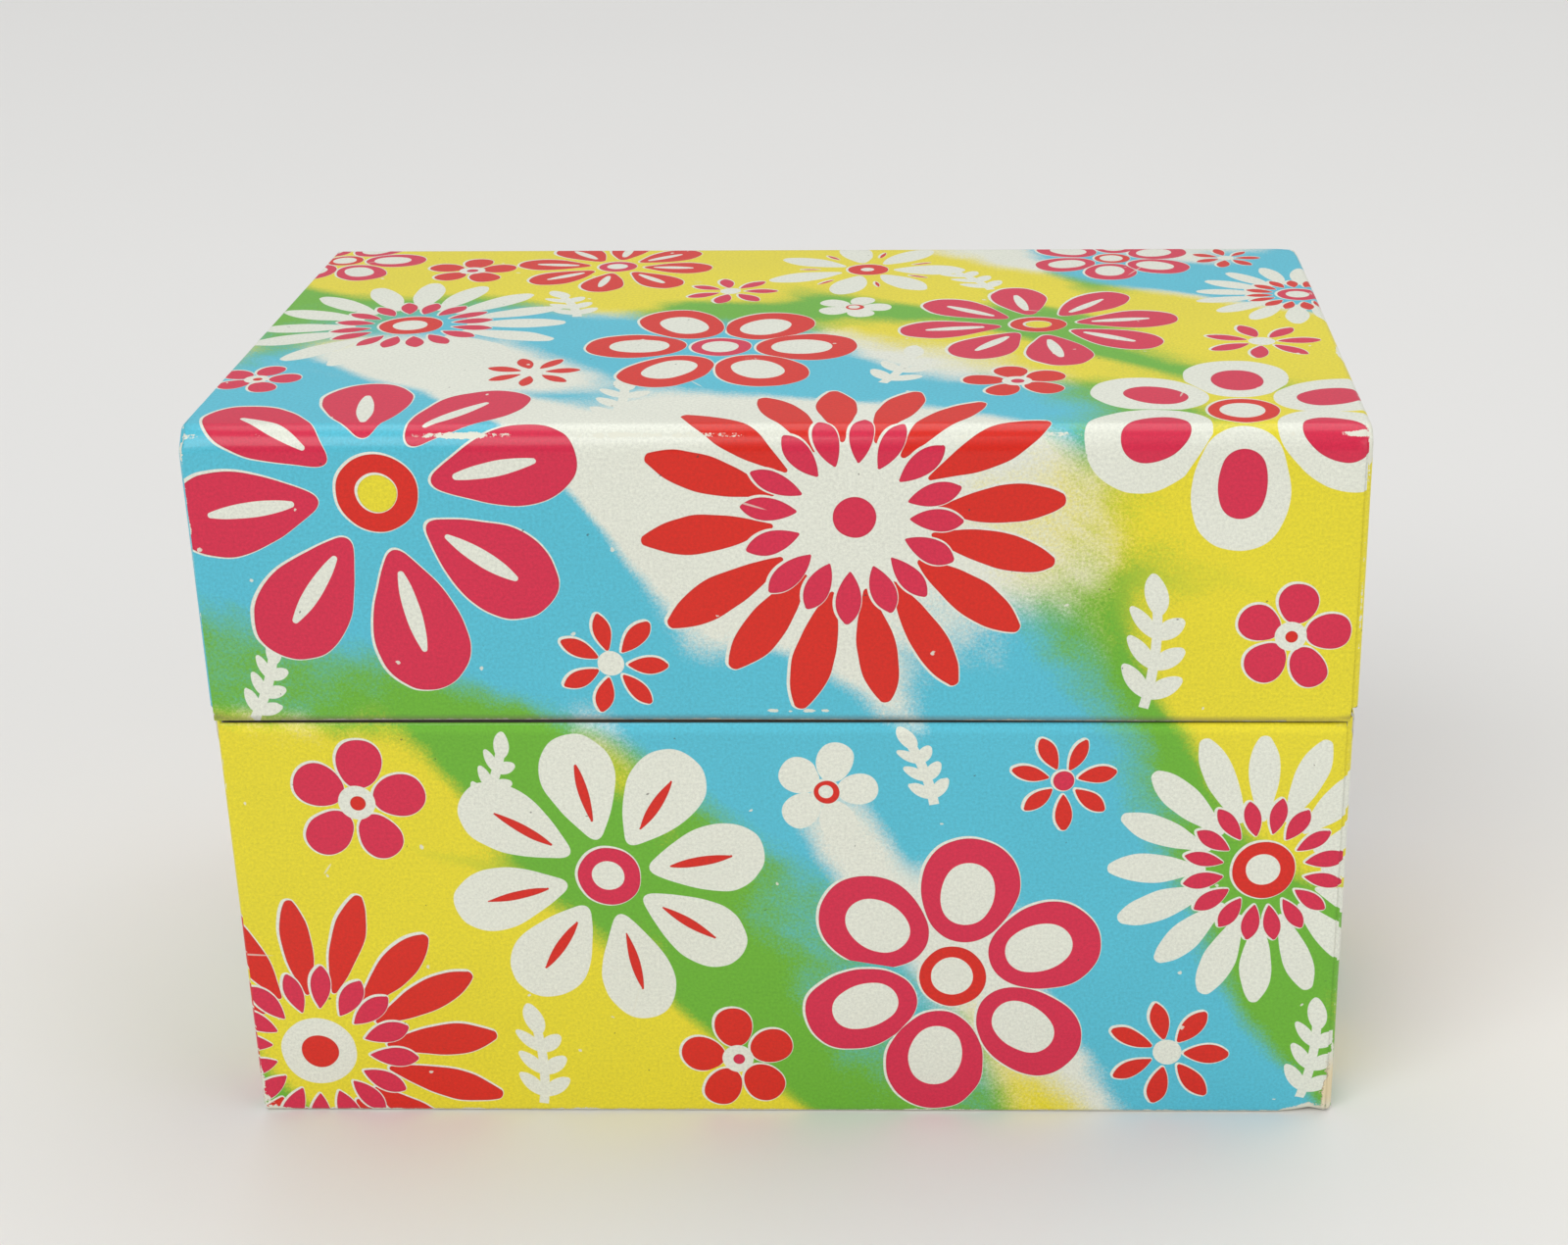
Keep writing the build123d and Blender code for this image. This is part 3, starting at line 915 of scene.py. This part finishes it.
def write_print(mesh, print_place):
    """UV map of the flat print, in millimetres, and the motifs that each face belongs to."""
    corners = np.zeros((len(mesh.loops), 2), np.float32)
    middles = np.zeros((len(mesh.polygons), 2), np.float32)
    for face in mesh.polygons:
        if face.material_index != PRINTED:
            continue
        for corner in face.loop_indices:
            point = mesh.vertices[mesh.loops[corner].vertex_index].co
            corners[corner] = [value / MM for value in print_place(point, face.normal)]
        middles[face.index] = corners[face.loop_indices].mean(axis=0)
    mesh.uv_layers.new(name="print").uv.foreach_set("vector", corners.ravel())
    for name, blooms in (("large", LARGE_BLOOMS), ("small", SMALL_BLOOMS)):
        rows = [bloom_numbers(bloom, number) for number, bloom in enumerate(blooms)]
        circles = [(bloom.across, bloom.up, bloom.radius) for bloom in blooms]
        write_face_numbers(mesh, name, nearest(middles, circles), rows)
    rows = [{"place": (*sprig[:3], radians(sprig.turn))} for sprig in SPRIGS]
    circles = [sprig_circle(sprig) for sprig in SPRIGS]
    write_face_numbers(mesh, "sprig", nearest(middles, circles), rows)


def side_rim(y):
    """Height of the line that the base's side shoulders follow."""
    front, back = BASE[0].y, BASE[1].y
    start, end = RIM + SIDE_SEAM_RISE, AXIS_HEIGHT - SIDE_SEAM_DROP
    return start + (end - start) * (y - front) / (back - front)


def rim_at(point):
    """Height of the base's rim, nearest to a point of either shell."""
    if abs(point.x) > BASE[1].x - FOLD:
        return side_rim(point.y)
    return RIM if point.y < 0 else AXIS_HEIGHT


# Knocks that took more paint off, and flecks along the brow that are partly wear and partly painted
# glints: place, radius and how much wider the bare margin gets, in mm
KNOCKS_AND_GLINTS = [
    ((68.2, -41.6, 4.0), 7.0, 1.5),
    ((-68.2, -41.6, 1.0), 5.0, 0.5),
    ((-68.5, -41.9, 90.5), 3.5, 0.25),
    ((68.5, -41.9, 91.0), 4.5, 0.5),
    # Along the brow: bare flecks, partly chips and partly painted glints on the bend
    ((-34.0, -41.0, 90.6), 9.0, 0.42),
    ((-20.0, -41.0, 90.6), 6.0, 0.30),
    ((-8.0, -41.0, 90.6), 9.0, 0.34),
    ((-57.5, -41.0, 90.6), 4.0, 0.30),
    ((33.0, -41.0, 90.6), 6.0, 0.26),
    ((68.5, 41.5, 91.0), 7.0, 1.1),
    ((-68.5, 41.5, 91.0), 6.0, 0.9),
    ((-68.2, 41.5, 1.0), 7.0, 1.2),
    ((68.2, 41.5, 2.0), 5.0, 0.8),
    ((68.5, -12.0, 91.3), 4.0, 0.6),
    ((-20.0, 41.5, 90.5), 3.0, 0.8),
]


def write_wear(mesh, wear_at, hemmed):
    """Per point, in millimetres: how far an edge is, how far it is rubbed, how far the seam is.

    The fourth number is 1 on the shell whose lower edge is hemmed.
    """
    made = mesh.attributes.new("wear", "FLOAT_COLOR", "POINT")
    values = []
    for vertex in mesh.vertices:
        distance, rub, seam = wear_at(vertex.co)
        for place, radius, depth in KNOCKS_AND_GLINTS:
            away = (vertex.co / MM - Vector(place)).length
            rub += depth * max(0.0, 1.0 - away / radius)
        values += [min(distance / MM, 20.0), rub, min(abs(seam) / MM, 20.0), hemmed]
    made.data.foreach_set("color", values)


def lid_wear(point):
    """Distance to the lid's nearest rubbed edge, its rubbed width, and height above the seam."""
    x, y, z = point
    side = LID[1].x - abs(x)
    front = y - LID[0].y
    back = LID[1].y - y
    below_top = TOP - z
    brow = abs(hypot(max(0.0, BROW - front), max(0.0, BROW - below_top)) - BROW)
    seam = z - rim_at(point) - SEAM_GAP
    options = [(abs(seam), 0.22), (max(side, front), 0.42), (max(side, back), 0.36)]
    if front < BROW + GRID or below_top < BROW + GRID:
        options.append((abs(front - below_top) * 0.7 + brow, 0.10))
    options.append((max(side, below_top), 0.28))
    return (*min(options), seam)


def base_wear(point):
    """The same for the base: its foot, its upright folds and its shoulder."""
    x, y, z = point
    side = BASE[1].x - abs(x)
    front = y - BASE[0].y
    back = BASE[1].y - y
    seam = z - rim_at(point)
    options = [(z, 0.42), (max(side, front), 0.36), (max(side, back), 0.36), (abs(seam), 0.06)]
    return (*min(options), seam)


WAVE = 0.14 * MM         # how far the large panels bulge
WAVE_LENGTH = 42 * MM
CALM = 12 * MM           # the panels lie flat within this distance of a bend or an edge
# Dents: place, radius and push, in millimetres
DENTS = [
    ((65.2, -41.6, 0.0), 3.2, (0.0, 0.30, 0.45)),
    ((-68.5, -41.9, 91.5), 3.5, (0.25, 0.35, -0.30)),
    ((68.5, 41.5, 91.5), 4.0, (-0.25, -0.30, -0.35)),
    ((-30.0, -41.6, 27.0), 13.0, (0.0, 0.16, 0.0)),
    ((30.0, 10.0, 91.5), 15.0, (0.0, 0.0, -0.20)),
]


def buckle(mesh, box, above_seam):
    """Makes the flat panels slightly wavy and the corners dented, as handled tin is."""
    skin = THICKEST_SKIN
    for vertex in mesh.vertices:
        point = vertex.co.copy()
        calm = [min(point[i] - box[0][i], box[1][i] - point[i]) for i in range(3)]
        from_seam = (point.z - rim_at(point)) * (1 if above_seam else -1)
        push = Vector((0, 0, 0))
        for axis in range(3):
            if calm[axis] > skin or (axis == 2 and point.z < skin):
                continue
            others = [calm[i] for i in range(3) if i != axis] + [max(0.0, from_seam)]
            calmed = min(1.0, min(others) / CALM)
            wave = noise.noise(point / WAVE_LENGTH + Vector((3.1 * axis, 1.7, 0.4)))
            outward = 1 if point[axis] > (box[0][axis] + box[1][axis]) / 2 else -1
            push[axis] += outward * WAVE * (wave * 0.5 + 0.5) * calmed * calmed
        for place, radius, shift in DENTS:
            away = (point / MM - Vector(place)).length / radius
            if away < 1.0:
                push += Vector(shift) * MM * (1.0 - away * away) ** 2
        vertex.co = point + push


RAW_EDGE_DROP = 0.19 * MM  # brings the single sheet beyond the hem level with the hem's round
EDGE_WAVE = 0.17 * MM      # how far the lid's front edge runs up and down
EDGE_CREST = -20 * MM      # where it stands highest
EDGE_HALF_WAVE = 90 * MM   # from there to where it hangs lowest
EDGE_REACH = 12 * MM       # the wave dies out this far up the lid


def settle_front_edge(mesh):
    """Brings the single sheet beyond the hem level with it, and lets the whole edge wave."""
    front = LID[0].y
    for vertex in mesh.vertices:
        point = vertex.co
        depth, height = point.y - front, point.z - SEAM
        if depth < SHEET * 1.1 and height < SHEET * 1.1 and abs(point.x) > HEM_END + HAIR:
            point.z -= RAW_EDGE_DROP
        near = max(0.0, 1.0 - depth / (BROW / 2)) * max(0.0, 1.0 - height / EDGE_REACH) ** 2
        point.z += EDGE_WAVE * near * cos(pi * (point.x - EDGE_CREST) / EDGE_HALF_WAVE)


def weighted(piece):
    """Shades the bends smooth, and keeps panels flat and cut edges sharp."""
    mesh = piece.data
    for face in mesh.polygons:
        face.use_smooth = True
    mesh.set_sharp_from_angle(angle=radians(38))
    modifier = piece.modifiers.new("weighted", "WEIGHTED_NORMAL")
    modifier.keep_sharp = True
    modifier.weight = 60
    graph = bpy.context.evaluated_depsgraph_get()
    made = bpy.data.meshes.new_from_object(piece.evaluated_get(graph))
    piece.modifiers.clear()
    piece.data = made
    made.name = mesh.name
    bpy.data.meshes.remove(mesh)


def tin_shell(name, node, lines, middle, plain, print_place, wear_at, materials):
    """Finished shell made from a packed one."""
    bm = worked_copy(node, lines)
    face_roles(bm, middle, plain)
    mesh = bpy.data.meshes.new(name)
    bm.to_mesh(mesh)
    bm.free()
    write_print(mesh, print_place)
    is_lid = node == "lid_shell"
    write_wear(mesh, wear_at, is_lid)
    buckle(mesh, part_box(node), is_lid)
    if is_lid:
        settle_front_edge(mesh)
    for material in materials:
        mesh.materials.append(material)
    piece = bpy.data.objects.new(name, mesh)
    bpy.context.scene.collection.objects.link(piece)
    weighted(piece)
    return piece


def lid_lines():
    """Where the lid's panels are cut, along x, y and z."""
    side, front, back = LID[1].x - FOLD, LID[0].y + BROW, LID[1].y - BROW
    past_hem = HEM_END + 2 * HAIR
    across = grid_lines(-side, side) + [-past_hem, past_hem]
    return across, grid_lines(front, back), grid_lines(SEAM + 0.6 * MM, TOP - BROW)


def base_lines():
    """Where the base's panels are cut, along x, y and z."""
    side, front, back = BASE[1].x - FOLD, BASE[0].y + FOLD, BASE[1].y - FOLD
    return grid_lines(-side, side), grid_lines(front, back), grid_lines(FOLD, RIM - 0.6 * MM)


def unprinted(centre, normal):
    """Whether a face is on the base's neck or underside."""
    if normal.z < -0.7 and centre.z < FOLD:
        return True
    rim = side_rim(centre.y) if abs(normal.x) > 0.3 or abs(centre.x) > BASE[1].x - FOLD else RIM
    if centre.y > 0 and abs(normal.x) < 0.3:
        rim = AXIS_HEIGHT
    return centre.z > rim - 0.1 * MM


# ---------------------------------------------------------------- studio

CAMERA_PLACE = Vector((23.90, -323.09, 184.98)) * MM
CAMERA_TURN = radians(-0.999), radians(22.633), radians(-0.428)  # yaw, pitch down, and roll

# Lamps: place, size in metres and power in watts
LAMPS = {
    "key": ((-1.15, -1.90, 2.15), (2.0, 2.0), 43.0),
    "overhead": ((0.35, 0.85, 2.60), (3.0, 2.0), 34.0),
    "fill": ((2.10, -1.35, 0.90), (1.5, 1.5), 12.0),
}
SKY = (0.86, 0.87, 0.88, 1.0)    # lights the box, but isn't seen
SKY_STRENGTH = 0.42
FLOOR_TINT = (0.80, 0.79, 0.77)
FLOOR_REACH = 8.0
HAZE = (1.0, 2.5)                # the floor fades into the surroundings from here to here


def camera():
    """Camera a little above the box and just right of its middle, square to the front."""
    data = bpy.data.cameras.new("camera")
    data.lens = 59.69
    data.sensor_width = 36.0
    data.shift_x = -0.1000
    data.clip_start, data.clip_end = 0.01, 20.0
    yaw, pitch, roll = CAMERA_TURN
    ahead = Vector((sin(yaw) * cos(pitch), cos(yaw) * cos(pitch), -sin(pitch)))
    level = Vector((cos(yaw), -sin(yaw), 0))
    above = level.cross(ahead)
    right = cos(roll) * level + sin(roll) * above
    up = cos(roll) * above - sin(roll) * level
    turned = Matrix((right, up, -ahead)).transposed()
    made = bpy.data.objects.new("camera", data)
    made.matrix_world = Matrix.Translation(CAMERA_PLACE) @ turned.to_4x4()
    bpy.context.scene.collection.objects.link(made)
    bpy.context.scene.camera = made


def soft_light(name, place, aim, size, power):
    """Large lamp at a place, facing a point."""
    data = bpy.data.lights.new(name, "AREA")
    data.shape = "RECTANGLE"
    data.size, data.size_y = size
    data.energy = power
    made = bpy.data.objects.new(name, data)
    made.location = place
    made.rotation_mode = "QUATERNION"
    made.rotation_quaternion = (Vector(aim) - Vector(place)).to_track_quat("-Z", "Y")
    bpy.context.scene.collection.objects.link(made)


def looked_at(tree):
    """1 for a ray from the camera, 0 for one that only brings light."""
    path = tree.nodes.new("ShaderNodeLightPath")
    return Term(tree, path.outputs["Is Camera Ray"])


def studio():
    """Three soft lamps and pale surroundings."""
    for name, (place, size, power) in LAMPS.items():
        soft_light(name, place, (0, 0, TOP / 2), size, power)
    world = bpy.data.worlds.new("surroundings")
    bpy.context.scene.world = world
    world.use_nodes = True
    tree = world.node_tree
    seen = looked_at(tree)
    background = tree.nodes["Background"]
    plug(background.inputs["Color"], blended(tree, SKY, PALE, seen))
    plug(background.inputs["Strength"], choose(seen, seen, SKY_STRENGTH))
    bpy.context.scene.view_settings.view_transform = "Standard"


def pale_floor():
    """Floor that fades into the surroundings far from the box."""
    mesh = bpy.data.meshes.new("floor")
    reach = FLOOR_REACH
    corners = [(-reach, -reach, 0), (reach, -reach, 0), (reach, reach, 0), (-reach, reach, 0)]
    mesh.from_pydata(corners, [], [(0, 1, 2, 3)])
    floor = bpy.data.objects.new("floor", mesh)
    material, tree, shader = new_material("floor")
    place = object_place(tree, 1.0)
    x, y, _ = split(tree, place.socket)
    soft = noise_at(tree, place, 3.0, 2.0)
    plug(shader.inputs["Base Color"], times(tree, FLOOR_TINT, soft * 0.04 + 0.98))
    shader.inputs["Roughness"].default_value = 0.6
    glow = tree.nodes.new("ShaderNodeEmission")
    glow.inputs["Color"].default_value = PALE
    blend = tree.nodes.new("ShaderNodeMixShader")
    plug(blend.inputs[0], length_of(x, y).fade(*HAZE) * looked_at(tree))
    tree.links.new(shader.outputs[0], blend.inputs[1])
    tree.links.new(glow.outputs[0], blend.inputs[2])
    tree.links.new(blend.outputs[0], tree.nodes["Material Output"].inputs["Surface"])
    mesh.materials.append(material)
    bpy.context.scene.collection.objects.link(floor)


def show(piece, body, node):
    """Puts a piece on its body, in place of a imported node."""
    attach(piece, body)
    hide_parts(node)


studio()
pale_floor()
camera()

lens = lens_group()
groups = {
    "petal_ring": petal_ring_group(lens),
    "sprig": sprig_group(lens),
    "ink_chart": ink_chart_group(),
    "marks": marks_group(),
}
shell_finishes = [
    print_material("printed tin", groups),
    enamel_material("enamelled tin"),
    edge_material("cut tin edge"),
]

lid = tin_shell(
    "printed_lid", "lid_shell", lid_lines(), Vector((0, 0, 78 * MM)),
    lambda centre, normal: False, lid_print_place, lid_wear, shell_finishes,
)
show(lid, "lid", "lid_shell")
base = tin_shell(
    "printed_base", "base_shell", base_lines(), Vector((0, 0, 30 * MM)),
    unprinted, base_print_place, base_wear, shell_finishes,
)
show(base, "base", "base_shell")

leaf_steel = steel_material("tinned hinge steel", TIN)
pin_steel = steel_material("pin wire", WIRE)
for name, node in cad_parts.items():
    if "leaf" in name or "pin" in name:
        finish = pin_steel if "pin" in name else leaf_steel
        for slot in node.material_slots:
            slot.material = finish
